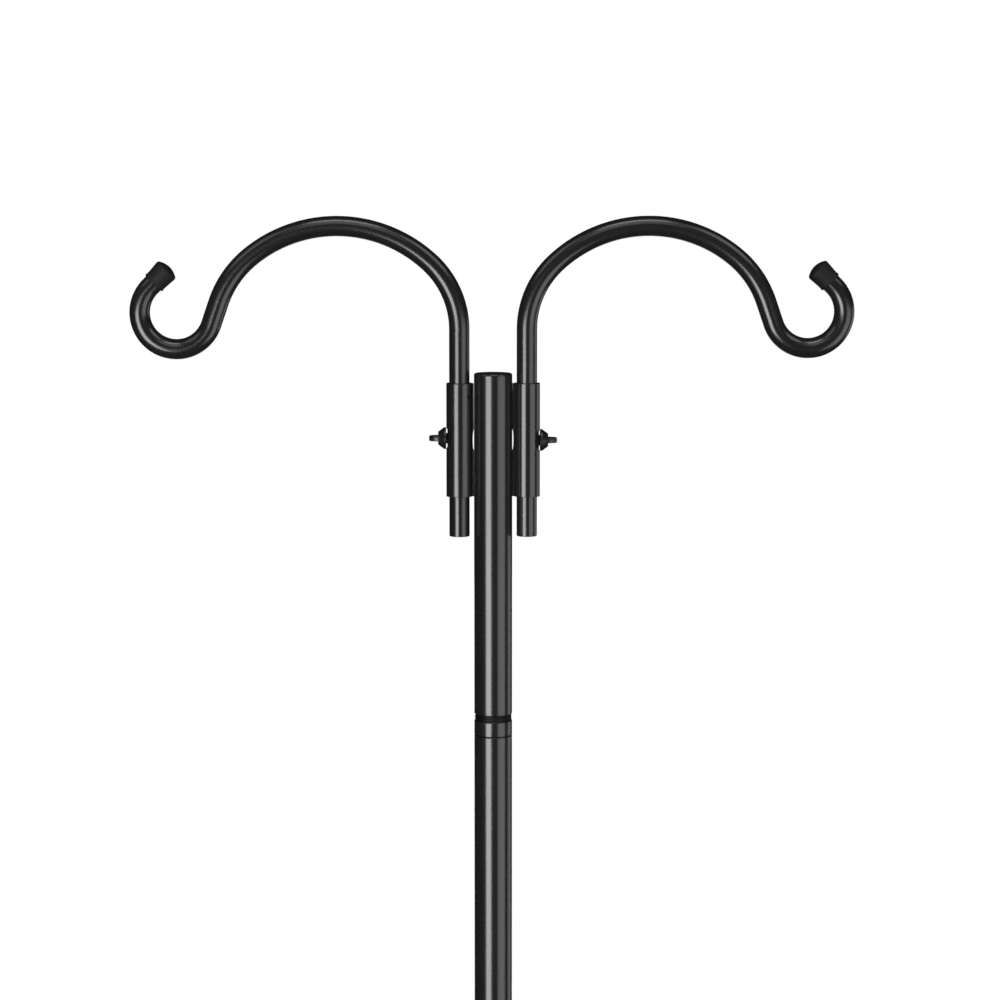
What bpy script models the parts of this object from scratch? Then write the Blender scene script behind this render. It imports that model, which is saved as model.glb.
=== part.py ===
"""Garden hanger pole with two swing hooks, in metres, +Z up.

The origin lies on the pole's axis at the ground line. The right arm reaches along +X and -Y is the
front. Four threaded joints stack the pole, and its top section carries a sleeve on each side. A bent
arm stands in each sleeve, held by a thumb screw, and ends in a hook with a rubber cap.
"""

import math

import bmesh
import bpy
import numpy as np
from mathutils import Vector

MM = 0.001
FIT_GAP = 0.3 * MM  # between pieces that touch on the real object

# Pole sections
POLE_RADIUS = 13.45 * MM
POLE_BORE = 12.25 * MM
SECTION_LENGTH = 400 * MM
POLE_SIDES = 24
TOP_ABOVE_SCREWS = 47 * MM
TOP_BELOW_SCREWS = 195.1 * MM
TOP_EDGE = 1.4 * MM
TOP_PLUG_DEPTH = 8 * MM

# Threaded joints between sections
COLLAR_HEIGHT = 10.85 * MM
NECK_HEIGHT = 4.8 * MM
NECK_CREST = 13.15 * MM
NECK_ROOT = 12.6 * MM
NECK_TURNS = 3
COUPLER_BORE = 8.5 * MM
SPIGOT_RADIUS = 10.6 * MM
SPIGOT_LENGTH = 22 * MM
SOCKET_DEPTH = 25 * MM
JOINT_HEIGHT = COLLAR_HEIGHT + NECK_HEIGHT

# Sleeves, with the welds that join them to the pole and the nuts set into them
SLEEVE_RADIUS = 9.2 * MM
SLEEVE_BORE = 7.6 * MM
SLEEVE_HALF_LENGTH = 40 * MM
SLEEVE_OFFSET = 23.7 * MM
SLEEVE_SIDES = 24
WELD_HALF_WIDTH = 2.6 * MM
WELD_INNER_END = 7.4 * MM
NUT_RADIUS = 7.1 * MM
NUT_FACE = 8.4 * MM

# Arms: a straight stem, three bends up and over, a straight, the hook's bend and its straight tip
ARM_RADIUS = 7.15 * MM
ARM_BORE = 5.95 * MM
ARM_SIDES = 12
STEM_BOTTOM = -68.2 * MM
STEM_TOP = 77.6 * MM
ARCH_BENDS = ((63.5 * MM, 47.1), (95.7 * MM, 82.0), (71 * MM, 32.0))
HOOK_DROP = 15.7 * MM
HOOK_BEND = (25.55 * MM, -206.1)
HOOK_TIP = 13 * MM
BEND_STEP = 11.0  # degrees between rings
ARM_PLUG_LENGTH = 10 * MM

# Rubber caps
CAP_START = 3.5 * MM
CAP_LENGTH = 16 * MM
CAP_MOUTH_RADIUS = 8.0 * MM
CAP_END_RADIUS = 8.7 * MM
CAP_DOME = 2.6 * MM
CAP_SIDES = 20

# Thumb screws, M8
SHANK_RADIUS = 3.95 * MM
SHANK_TIP = 7.5 * MM
HUB_BASE = 9.55 * MM
HUB_RADIUS = 7.7 * MM
HUB_NOSE_RADIUS = 4.55 * MM
HUB_FLANGE = 1.2 * MM
HUB_LENGTH = 5.4 * MM
TAB_END = 21.3 * MM
TAB_HALF_WIDTH = 6 * MM
TAB_THICKNESS = 3.7 * MM
SCREW_RISE = {"left": 1.2 * MM, "right": -0.3 * MM}

# Ground base
BASE_ABOVE_GROUND = 100 * MM
BASE_BELOW_GROUND = 205 * MM
SPIKE_LENGTH = 45 * MM
SPIKE_TIP_RADIUS = 1.5 * MM
COLLAR_WALL = 4 * MM
COLLAR_RISE = 22 * MM
PRONG_REACH = 75 * MM
PRONG_DEPTH = 170 * MM
PRONG_WIDTH = 20 * MM
PRONG_THICKNESS = 4 * MM
PRONG_BEND = 8 * MM
PRONG_POINT = 30 * MM

# Heights of the stack, from the ground line up
SECTION_BOTTOMS = [
    BASE_ABOVE_GROUND + JOINT_HEIGHT + index * (SECTION_LENGTH + JOINT_HEIGHT) for index in range(3)
]
JOINT_BOTTOMS = [BASE_ABOVE_GROUND] + [bottom + SECTION_LENGTH for bottom in SECTION_BOTTOMS]
TOP_SECTION_BOTTOM = JOINT_BOTTOMS[-1] + JOINT_HEIGHT
SCREW_HEIGHT = TOP_SECTION_BOTTOM + TOP_BELOW_SCREWS

SIDE_ANGLES = {"right": 0.0, "left": math.pi}
PRONG_ANGLES = {"right": 0.0, "back": math.pi / 2, "left": math.pi, "front": -math.pi / 2}
SMOOTH_ANGLE = math.radians(40)


def clear_scene():
    """Removes every object of the startup scene."""
    for existing in list(bpy.data.objects):
        bpy.data.objects.remove(existing)


def make_material(name, colour, roughness, metallic=0.0):
    """A Principled material of one colour."""
    material = bpy.data.materials.new(name)
    material.use_nodes = True
    shader = material.node_tree.nodes["Principled BSDF"]
    shader.inputs["Base Color"].default_value = (*colour, 1.0)
    shader.inputs["Roughness"].default_value = roughness
    shader.inputs["Metallic"].default_value = metallic
    return material


def make_object(name, mesh_builder, material, location=(0, 0, 0), rotation=(0, 0, 0), parent=None):
    """An object with the bmesh's faces turned outwards and its round sides shaded smooth."""
    bmesh.ops.recalc_face_normals(mesh_builder, faces=mesh_builder.faces)
    mesh = bpy.data.meshes.new(name)
    mesh_builder.to_mesh(mesh)
    mesh_builder.free()
    mesh.shade_smooth()
    mesh.set_sharp_from_angle(angle=SMOOTH_ANGLE)
    mesh.materials.append(material)
    made = bpy.data.objects.new(name, mesh)
    made.location = location
    made.rotation_euler = rotation
    made.parent = parent
    bpy.context.scene.collection.objects.link(made)
    return made


def make_empty(name, location, turn=0.0):
    """An empty that pieces are placed from, turned about Z."""
    empty = bpy.data.objects.new(name, None)
    empty.location = location
    empty.rotation_euler = (0, 0, turn)
    bpy.context.scene.collection.objects.link(empty)
    return empty


def turned(profile, sides):
    """A solid of revolution about Z from a closed outline of (radius, height) points."""
    builder = bmesh.new()
    points = [builder.verts.new((radius, 0, height)) for radius, height in profile]
    edges = [builder.edges.new(pair) for pair in zip(points, points[1:] + points[:1])]
    bmesh.ops.spin(
        builder,
        geom=points + edges,
        cent=(0, 0, 0),
        axis=(0, 0, 1),
        angle=math.tau,
        steps=sides,
        use_merge=True,
    )
    bmesh.ops.remove_doubles(builder, verts=builder.verts, dist=1e-7)
    on_axis = [edge for edge in builder.edges if not edge.link_faces]
    bmesh.ops.delete(builder, geom=on_axis, context="EDGES")
    return builder


def tube_profile(outer, bore, bottom, top):
    """The outline of a plain tube's wall."""
    return [(outer, bottom), (outer, top), (bore, top), (bore, bottom)]


def rod_profile(radius, bottom, top):
    """The outline of a plain rod."""
    return [(0, bottom), (radius, bottom), (radius, top), (0, top)]


def extruded(outline, thickness):
    """A prism of an (x, z) outline, centred on y = 0."""
    builder = bmesh.new()
    face = builder.faces.new([builder.verts.new((x, -thickness / 2, z)) for x, z in outline])
    grown = bmesh.ops.extrude_face_region(builder, geom=[face])
    moved = [item for item in grown["geom"] if isinstance(item, bmesh.types.BMVert)]
    bmesh.ops.translate(builder, verts=moved, vec=(0, thickness, 0))
    return builder


def arc(centre, radius, start, end, steps):
    """Points on an arc between two angles in degrees, both ends included."""
    angles = np.radians(np.linspace(start, end, steps + 1))
    return [(centre[0] + radius * math.cos(a), centre[1] + radius * math.sin(a)) for a in angles]


def arm_path():
    """The arm's centreline as (x, z) points with their headings, from the stem's bottom to the tip.

    x is measured from the sleeve's axis and z from the screws' height. A heading is the angle from
    straight up towards +X.
    """
    stations = [(Vector((0, STEM_BOTTOM)), 0.0), (Vector((0, STEM_TOP)), 0.0)]

    def add_bend(radius, turn):
        place, heading = stations[-1]
        side = math.copysign(1, turn)
        centre = place + side * radius * Vector((math.cos(heading), -math.sin(heading)))
        steps = math.ceil(abs(turn) / BEND_STEP)
        for step in range(1, steps + 1):
            now = heading + math.radians(turn) * step / steps
            outward = -side * radius * Vector((math.cos(now), -math.sin(now)))
            stations.append((centre + outward, now))

    def add_straight(length):
        place, heading = stations[-1]
        stations.append((place + length * Vector((math.sin(heading), math.cos(heading))), heading))

    for radius, turn in ARCH_BENDS:
        add_bend(radius, turn)
    add_straight(HOOK_DROP)
    add_bend(*HOOK_BEND)
    add_straight(HOOK_TIP)
    return stations


def swept_tube(stations, radius, bore, sides):
    """A hollow tube along a path that lies in the X-Z plane."""
    builder = bmesh.new()
    around = np.linspace(0, math.tau, sides, endpoint=False)

    def ring(place, heading, size):
        across = Vector((math.cos(heading), 0, -math.sin(heading)))
        middle = Vector((place.x, 0, place.y))
        return [
            builder.verts.new(middle + size * (math.cos(a) * across + math.sin(a) * Vector((0, 1, 0))))
            for a in around
        ]

    def bridge(first, second):
        for index in range(sides):
            after = (index + 1) % sides
            builder.faces.new((first[index], first[after], second[after], second[index]))

    outside = [ring(place, heading, radius) for place, heading in stations]
    inside = [ring(place, heading, bore) for place, heading in stations]
    for wall in (outside, inside):
        for first, second in zip(wall, wall[1:]):
            bridge(first, second)
    bridge(outside[0], inside[0])
    bridge(outside[-1], inside[-1])
    return builder


def cut(target, profile, sides, location, rotation, parent):
    """Cuts a turned shape out of an object with a Boolean, and keeps the cutter hidden."""
    count = len(target.modifiers) + 1
    cutter = make_object(
        f"{target.name}_cutter_{count}", turned(profile, sides), None, location, rotation, parent
    )
    cutter.hide_render = True
    cutter.display_type = "WIRE"
    boolean = target.modifiers.new(f"cut_{count}", "BOOLEAN")
    boolean.operation = "DIFFERENCE"
    boolean.solver = "EXACT"
    boolean.object = cutter


def build_top_pole(paint):
    """The top pole section with its rounded rim, and the plug that closes it."""
    top = TOP_ABOVE_SCREWS
    profile = [(POLE_RADIUS, -TOP_BELOW_SCREWS)]
    profile += arc((POLE_RADIUS - TOP_EDGE, top - TOP_EDGE), TOP_EDGE, 0, 90, 3)
    profile[-1] = (POLE_BORE, top)
    profile += [(POLE_BORE, -TOP_BELOW_SCREWS)]
    place = (0, 0, SCREW_HEIGHT)
    make_object("top_pole", turned(profile, POLE_SIDES), paint, place)
    plug = rod_profile(POLE_BORE - FIT_GAP, top - TOP_PLUG_DEPTH, top)
    make_object("pole_top_plug", turned(plug, POLE_SIDES), paint, place)


def neck_profile():
    """The ribbed neck's outline from the collar up, one rib for each turn of its thread."""
    pitch = NECK_HEIGHT / NECK_TURNS
    points = []
    for turn in range(NECK_TURNS):
        foot = COLLAR_HEIGHT + turn * pitch
        points += [(NECK_ROOT, foot), (NECK_CREST, foot + pitch / 2)]
    return points + [(NECK_ROOT, JOINT_HEIGHT - FIT_GAP)]


def build_joints(thread):
    """Each joint's coupler, set in the section below, and the insert in the section above."""
    socket_radius = POLE_BORE - FIT_GAP
    coupler = [(COUPLER_BORE, -SOCKET_DEPTH), (socket_radius, -SOCKET_DEPTH), (socket_radius, FIT_GAP)]
    coupler += [(POLE_RADIUS, FIT_GAP), (POLE_RADIUS, COLLAR_HEIGHT)]
    coupler += neck_profile()
    spigot_top = JOINT_HEIGHT + SPIGOT_LENGTH
    coupler += [(SPIGOT_RADIUS, JOINT_HEIGHT - FIT_GAP), (SPIGOT_RADIUS, spigot_top)]
    coupler += [(COUPLER_BORE, spigot_top)]
    insert = tube_profile(socket_radius, SPIGOT_RADIUS + FIT_GAP, 0, SOCKET_DEPTH)
    for number, bottom in enumerate(JOINT_BOTTOMS, start=1):
        make_object(f"coupler_{number}", turned(coupler, POLE_SIDES), thread, (0, 0, bottom))
        place = (0, 0, bottom + JOINT_HEIGHT)
        make_object(f"insert_{number}", turned(insert, POLE_SIDES), thread, place)


def build_pole_sections(paint):
    """The three plain sections between the base and the top section."""
    profile = tube_profile(POLE_RADIUS, POLE_BORE, 0, SECTION_LENGTH)
    for number, bottom in enumerate(SECTION_BOTTOMS, start=1):
        make_object(f"pole_section_{number}", turned(profile, POLE_SIDES), paint, (0, 0, bottom))


def build_sleeve(side, parent, paint):
    """A sleeve with the round hole in its outer wall that takes the nut."""
    profile = tube_profile(SLEEVE_RADIUS, SLEEVE_BORE, -SLEEVE_HALF_LENGTH, SLEEVE_HALF_LENGTH)
    place = (SLEEVE_OFFSET, 0, 0)
    sleeve = make_object(f"{side}_sleeve", turned(profile, SLEEVE_SIDES), paint, place, parent=parent)
    hole = rod_profile(NUT_RADIUS + FIT_GAP, 0, 2 * SLEEVE_RADIUS)
    screw_place = (SLEEVE_OFFSET, 0, SCREW_RISE[side])
    cut(sleeve, hole, SLEEVE_SIDES, screw_place, (0, math.pi / 2, 0), parent)


def build_nut(side, parent, thread):
    """The round nut in the sleeve's outer wall, hollowed on its inner side to clear the arm."""
    screw_place = (SLEEVE_OFFSET, 0, SCREW_RISE[side])
    facing_out = (0, math.pi / 2, 0)
    body = tube_profile(NUT_RADIUS, SHANK_RADIUS + FIT_GAP, 0, NUT_FACE)
    nut = make_object(
        f"{side}_screw_nut", turned(body, SLEEVE_SIDES), thread, screw_place, facing_out, parent
    )
    reach = 2 * NUT_RADIUS
    cut(nut, rod_profile(SLEEVE_BORE, -reach, reach), SLEEVE_SIDES, screw_place, (0, 0, 0), parent)


def build_welds(side, parent, paint):
    """The two weld strips between pole and sleeve, above and below the open stretch at the nut."""
    ys = np.linspace(-WELD_HALF_WIDTH, WELD_HALF_WIDTH, 5)
    pole_side = [(math.sqrt((POLE_RADIUS + FIT_GAP) ** 2 - y**2), y) for y in ys]
    sleeve_side = [(SLEEVE_OFFSET - math.sqrt((SLEEVE_RADIUS + FIT_GAP) ** 2 - y**2), y) for y in ys]
    outline = pole_side + sleeve_side[::-1]
    length = SLEEVE_HALF_LENGTH - WELD_INNER_END
    for name, bottom in (("upper", WELD_INNER_END), ("lower", -SLEEVE_HALF_LENGTH)):
        builder = bmesh.new()
        face = builder.faces.new([builder.verts.new((x, y, bottom)) for x, y in outline])
        grown = bmesh.ops.extrude_face_region(builder, geom=[face])
        moved = [item for item in grown["geom"] if isinstance(item, bmesh.types.BMVert)]
        bmesh.ops.translate(builder, verts=moved, vec=(0, 0, length))
        make_object(f"{side}_{name}_weld", builder, paint, parent=parent)


def build_arm(side, parent, paint, rubber):
    """A hook arm with its bottom plug and its rubber cap, placed on the sleeve's axis."""
    place = (SLEEVE_OFFSET, 0, 0)
    stations = arm_path()
    tube = swept_tube(stations, ARM_RADIUS, ARM_BORE, ARM_SIDES)
    make_object(f"{side}_arm", tube, paint, place, parent=parent)

    plug = rod_profile(ARM_BORE - FIT_GAP, STEM_BOTTOM, STEM_BOTTOM + ARM_PLUG_LENGTH)
    make_object(f"{side}_arm_plug", turned(plug, ARM_SIDES), rubber, place, parent=parent)

    end, heading = stations[-2]
    ahead = Vector((math.sin(heading), math.cos(heading)))
    start = end + CAP_START * ahead
    cap_place = (SLEEVE_OFFSET + start.x, 0, start.y)
    make_object(
        f"{side}_hook_cap", build_cap(), rubber, cap_place, (0, heading, 0), parent
    )


def build_cap():
    """A rubber cap that flares towards its domed end, with a blind bore for the arm's tip."""
    corner = 2 * MM
    bore = ARM_RADIUS + FIT_GAP
    bore_depth = HOOK_TIP - CAP_START + FIT_GAP
    shoulder = CAP_LENGTH - CAP_DOME - corner
    profile = [(bore, 0), (CAP_MOUTH_RADIUS, 0), (CAP_MOUTH_RADIUS, shoulder / 2)]
    profile += arc((CAP_END_RADIUS - corner, shoulder), corner, 0, 60, 3)
    profile += [(CAP_END_RADIUS / 2, CAP_LENGTH - CAP_DOME / 5), (0, CAP_LENGTH)]
    profile += [(0, bore_depth), (bore, bore_depth)]
    return turned(profile, CAP_SIDES)


def build_screw(side, parent, thread):
    """A thumb screw: its threaded shank, and its head of flange, cone and flat tab."""
    place = (SLEEVE_OFFSET, 0, SCREW_RISE[side])
    facing_out = (0, math.pi / 2, 0)
    shank = rod_profile(SHANK_RADIUS, SHANK_TIP, HUB_BASE - FIT_GAP)
    make_object(f"{side}_screw_shank", turned(shank, SLEEVE_SIDES), thread, place, facing_out, parent)

    hub = [(0, HUB_BASE), (HUB_RADIUS, HUB_BASE), (HUB_RADIUS, HUB_BASE + HUB_FLANGE)]
    hub += [(HUB_NOSE_RADIUS, HUB_BASE + HUB_LENGTH), (0, HUB_BASE + HUB_LENGTH)]
    head = make_object(
        f"{side}_screw_head", turned(hub, SLEEVE_SIDES), thread, place, facing_out, parent
    )
    flat = (math.pi / 2, 0, 0)
    outline = extruded(tab_outline(), TAB_THICKNESS)
    tab = make_object(f"{side}_tab_guide", outline, thread, place, flat, parent)
    tab.hide_render = True
    tab.display_type = "WIRE"
    union = head.modifiers.new("tab", "BOOLEAN")
    union.operation = "UNION"
    union.solver = "EXACT"
    union.object = tab


def tab_outline():
    """The flat tab seen along its thickness: straight sides from inside the hub, then a half oval."""
    straight_end = TAB_END - TAB_HALF_WIDTH
    root = HUB_BASE + HUB_FLANGE
    waist = HUB_NOSE_RADIUS - FIT_GAP
    return [(root, -waist)] + arc((straight_end, 0), TAB_HALF_WIDTH, -90, 90, 8) + [(root, waist)]


def build_base(paint):
    """The base tube with its spike point, its collar and the four prongs."""
    tube = tube_profile(POLE_RADIUS, POLE_BORE, -BASE_BELOW_GROUND, BASE_ABOVE_GROUND)
    make_object("base_tube", turned(tube, POLE_SIDES), paint)

    shoulder = -BASE_BELOW_GROUND - FIT_GAP
    plug_radius = POLE_BORE - FIT_GAP
    point = [(0, shoulder - SPIKE_LENGTH), (SPIKE_TIP_RADIUS, shoulder - SPIKE_LENGTH)]
    point += [(POLE_RADIUS, shoulder), (plug_radius, shoulder)]
    point += [(plug_radius, shoulder + SOCKET_DEPTH), (0, shoulder + SOCKET_DEPTH)]
    make_object("spike_point", turned(point, POLE_SIDES), paint)

    collar_bore = POLE_RADIUS + FIT_GAP
    collar_radius = collar_bore + COLLAR_WALL
    collar = tube_profile(collar_radius, collar_bore, 0, COLLAR_RISE)
    make_object("base_collar", turned(collar, POLE_SIDES), paint)

    for name, angle in PRONG_ANGLES.items():
        prong = extruded(prong_outline(collar_radius + FIT_GAP), PRONG_WIDTH)
        make_object(f"{name}_prong", prong, paint, rotation=(0, 0, angle))


def prong_outline(start):
    """A prong's side view: a flat bar out along the ground, bent straight down to a point."""
    inner_bend = PRONG_BEND - PRONG_THICKNESS
    inner_face = PRONG_REACH - PRONG_THICKNESS
    tip = -PRONG_DEPTH
    outer = arc((PRONG_REACH - PRONG_BEND, PRONG_THICKNESS - PRONG_BEND), PRONG_BEND, 90, 0, 4)
    inner = arc((inner_face - inner_bend, -inner_bend), inner_bend, 0, 90, 4)
    point = [(PRONG_REACH, tip + PRONG_POINT), (inner_face, tip), (inner_face, tip + PRONG_POINT)]
    return [(start, 0), (start, PRONG_THICKNESS)] + outer + point + inner


def main():
    """Builds every piece, from the ground up."""
    clear_scene()
    paint = make_material("black_paint", (0.012, 0.012, 0.013), 0.28)
    thread = make_material("black_thread", (0.010, 0.010, 0.011), 0.4)
    rubber = make_material("black_rubber", (0.020, 0.020, 0.020), 0.7)
    build_base(paint)
    build_joints(thread)
    build_pole_sections(paint)
    build_top_pole(paint)
    for side, angle in SIDE_ANGLES.items():
        parent = make_empty(f"{side}_side", (0, 0, SCREW_HEIGHT), angle)
        build_sleeve(side, parent, paint)
        build_nut(side, parent, thread)
        build_welds(side, parent, paint)
        build_arm(side, parent, paint, rubber)
        build_screw(side, parent, thread)


main()
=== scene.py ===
"""Looks of a garden hanger pole with two swing hooks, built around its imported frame, in metres.

Each sub-assembly is a class that works out its surfaces with numpy and dresses them in one of the
finishes. +X runs along the right arm, -Y is the front and +Z is up.
"""

from __future__ import annotations

import logging
import math
from dataclasses import dataclass
from enum import Enum
from typing import Callable, Sequence

import bpy
import numpy as np
from mathutils import Matrix, Vector


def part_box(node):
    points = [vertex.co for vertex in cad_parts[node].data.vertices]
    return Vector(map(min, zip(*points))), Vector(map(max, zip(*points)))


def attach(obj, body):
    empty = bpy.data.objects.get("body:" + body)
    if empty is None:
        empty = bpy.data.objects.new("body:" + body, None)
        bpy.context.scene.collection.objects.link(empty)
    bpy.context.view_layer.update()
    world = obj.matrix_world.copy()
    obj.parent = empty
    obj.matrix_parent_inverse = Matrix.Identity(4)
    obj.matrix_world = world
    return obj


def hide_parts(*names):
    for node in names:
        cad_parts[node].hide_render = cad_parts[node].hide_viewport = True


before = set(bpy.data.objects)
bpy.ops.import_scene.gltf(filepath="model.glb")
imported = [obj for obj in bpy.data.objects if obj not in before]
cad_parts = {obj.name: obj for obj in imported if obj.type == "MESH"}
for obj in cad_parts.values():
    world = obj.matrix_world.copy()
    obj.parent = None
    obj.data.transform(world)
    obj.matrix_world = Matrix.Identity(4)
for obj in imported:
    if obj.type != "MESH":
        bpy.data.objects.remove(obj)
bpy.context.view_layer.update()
LOG = logging.getLogger("hanger_pole")

MM = 0.001
FIT_GAP = 0.3 * MM
AROUND = 96
SMOOTH_ANGLE = math.radians(38)
MIX_A, MIX_B, MIX_RESULT = 6, 7, 2
Array = np.ndarray


class Side(Enum):
    """The two sides of the head. The left is the right turned half a turn about the pole."""

    RIGHT = 1.0
    LEFT = -1.0

    @property
    def word(self) -> str:
        """The side's name as nodes and bodies spell it."""
        return self.name.lower()

    def place(self, points: Array) -> Array:
        """Right-hand points turned to this side about the pole's axis."""
        return points * np.array([self.value, self.value, 1.0])


# ---------------------------------------------------------------- surfaces


@dataclass
class Shell:
    """One closed surface: its points, and its faces as lists of point numbers."""

    points: Array
    faces: list[tuple[int, ...]]

    def moved(self, move: Callable[[Array], Array]) -> Shell:
        """The same faces on points that a function has moved."""
        return Shell(move(self.points), self.faces)

    def outward(self) -> Shell:
        """The shell with its faces turned outwards, judged by its signed volume."""
        corners = [(face[0], face[i], face[i + 1]) for face in self.faces for i in range(1, len(face) - 1)]
        triangles = self.points[np.array(corners)]
        volume = np.einsum("ij,ij->i", triangles[:, 0], np.cross(triangles[:, 1], triangles[:, 2])).sum()
        if volume >= 0:
            return self
        return Shell(self.points, [face[::-1] for face in self.faces])


def rings(rows: Array) -> Shell:
    """A closed surface through rings of points, with a fan of triangles over its first and last.

    Args:
        rows: An array of rows x around x 3. Row k is the k-th ring, in order along the surface.
    """
    count, around = rows.shape[:2]
    index = np.arange(count * around).reshape(count, around)
    ahead = np.roll(index, -1, axis=1)
    quads = np.stack([index[:-1], ahead[:-1], ahead[1:], index[1:]], axis=-1).reshape(-1, 4)
    first, last = count * around, count * around + 1
    fans = [(first, b, a) for a, b in zip(index[0], ahead[0])]
    fans += [(last, a, b) for a, b in zip(index[-1], ahead[-1])]
    points = np.vstack([rows.reshape(-1, 3), rows[0].mean(axis=0), rows[-1].mean(axis=0)])
    return Shell(points, [tuple(quad) for quad in quads.tolist()] + fans).outward()


def looped(rows: Array) -> Shell:
    """A closed surface through rings of points whose last ring joins its first."""
    count, around = rows.shape[:2]
    index = np.arange(count * around).reshape(count, around)
    ahead, above = np.roll(index, -1, axis=1), np.roll(index, -1, axis=0)
    quads = np.stack([index, ahead, np.roll(ahead, -1, axis=0), above], axis=-1).reshape(-1, 4)
    return Shell(rows.reshape(-1, 3), [tuple(quad) for quad in quads.tolist()]).outward()


def rounded(corners: Sequence[tuple[float, float, float]], steps: int = 5) -> Array:
    """An open outline whose inner corners are arcs.

    Each corner (a, b, r) is replaced by the arc of radius r that touches both of its sides: the arc
    starts r * tan(turn / 2) before the corner and sweeps the turn between the two sides. One more
    point 0.1 r outside each end of the arc keeps the shading of the flat sides flat.

    Args:
        corners: The outline's corners as (a, b, corner radius), where the ends' radii are not used.
        steps: Chords per arc.
    """
    spots = np.array(corners, float)
    outline = [spots[0, :2]]
    for before, here, after in zip(spots, spots[1:], spots[2:]):
        radius = here[2]
        come, go = here[:2] - before[:2], after[:2] - here[:2]
        come, go = come / np.linalg.norm(come), go / np.linalg.norm(go)
        turn = math.atan2(come[0] * go[1] - come[1] * go[0], float(come @ go))
        if radius <= 0 or abs(turn) < 1e-6:
            outline.append(here[:2])
            continue
        side = math.copysign(1.0, turn)
        reach = radius * math.tan(abs(turn) / 2)
        start, end = here[:2] - come * reach, here[:2] + go * reach
        normal = side * np.array([-come[1], come[0]])
        sweep = np.linspace(0, abs(turn), steps + 1)[:, None]
        outline.append(start - come * 0.1 * radius)
        outline.extend(start + normal * radius * (1 - np.cos(sweep)) + come * radius * np.sin(sweep))
        outline.append(end + go * 0.1 * radius)
    outline.append(spots[-1, :2])
    return np.array(outline)


def turned(outline: Array, around: int = AROUND) -> Shell:
    """A surface of revolution about Z: (r, z) goes to (r cos t, r sin t, z) for t in [0, 2 pi)."""
    return turned_with(outline[:, :1] * np.ones(around), outline[:, 1])


def turned_with(radii: Array, heights: Array) -> Shell:
    """A near-revolution about Z whose radius also varies round it.

    Args:
        radii: rows x around radii.
        heights: One height for each row.
    """
    angles = np.linspace(0, math.tau, radii.shape[1], endpoint=False)
    lift = np.broadcast_to(heights[:, None], radii.shape)
    return rings(np.stack([radii * np.cos(angles), radii * np.sin(angles), lift], axis=-1))


def thread_radii(heights: Array, root: float, crest: float, pitch: float, around: int = AROUND) -> Array:
    """Radii of a right-handed V thread with rounded crests.

    The depth is (1 + cos(2 pi (z / pitch - t / 2 pi))) / 2 to the power 0.8, and it fades to the
    root over half a pitch at both ends.
    """
    angles = np.linspace(0, math.tau, around, endpoint=False)
    phase = heights[:, None] * math.tau / pitch - angles
    depth = (0.5 + 0.5 * np.cos(phase)) ** 0.8
    fade = np.minimum(heights - heights[0], heights[-1] - heights) / (0.5 * pitch)
    return root + (crest - root) * depth * np.clip(fade, 0, 1)[:, None]


def facing_x(points: Array) -> Array:
    """Turns a shape's +Z to +X, as a quarter turn about Y."""
    return np.stack([points[:, 2], points[:, 1], -points[:, 0]], axis=-1)


def shifted(x: float = 0.0, y: float = 0.0, z: float = 0.0) -> Callable[[Array], Array]:
    """A function that moves points by a fixed step."""
    return lambda points: points + np.array([x, y, z])


def middle(node: str) -> Vector:
    """The centre of a CAD node's box."""
    low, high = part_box(node)
    return (low + high) / 2


# ---------------------------------------------------------------- shader maths


class Value:
    """A number in a material: operators on it add Math nodes."""

    def __init__(self, tree: Tree, socket: bpy.types.NodeSocket) -> None:
        """Wraps a socket of a tree."""
        self.tree = tree
        self.socket = socket

    def __add__(self, other: Value | float) -> Value:
        """The sum."""
        return self.tree.math("ADD", self, other)

    __radd__ = __add__

    def __mul__(self, other: Value | float) -> Value:
        """The product."""
        return self.tree.math("MULTIPLY", self, other)

    __rmul__ = __mul__

    def __sub__(self, other: Value | float) -> Value:
        """The difference."""
        return self.tree.math("SUBTRACT", self, other)

    def __rsub__(self, other: float) -> Value:
        """The difference from a number, such as 1 - mask."""
        return self.tree.math("SUBTRACT", other, self)

    def __truediv__(self, other: Value | float) -> Value:
        """The quotient."""
        return self.tree.math("DIVIDE", self, other)

    def highest(self, other: Value | float) -> Value:
        """The larger of the two."""
        return self.tree.math("MAXIMUM", self, other)

    def step(self, low: float, high: float) -> Value:
        """A smooth step from 0 at low to 1 at high."""
        settings = {"interpolation_type": "SMOOTHSTEP", "clamp": True}
        node = self.tree.add("ShaderNodeMapRange", settings, {"Value": self, "From Min": low, "From Max": high})
        return Value(self.tree, node.outputs["Result"])


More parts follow.
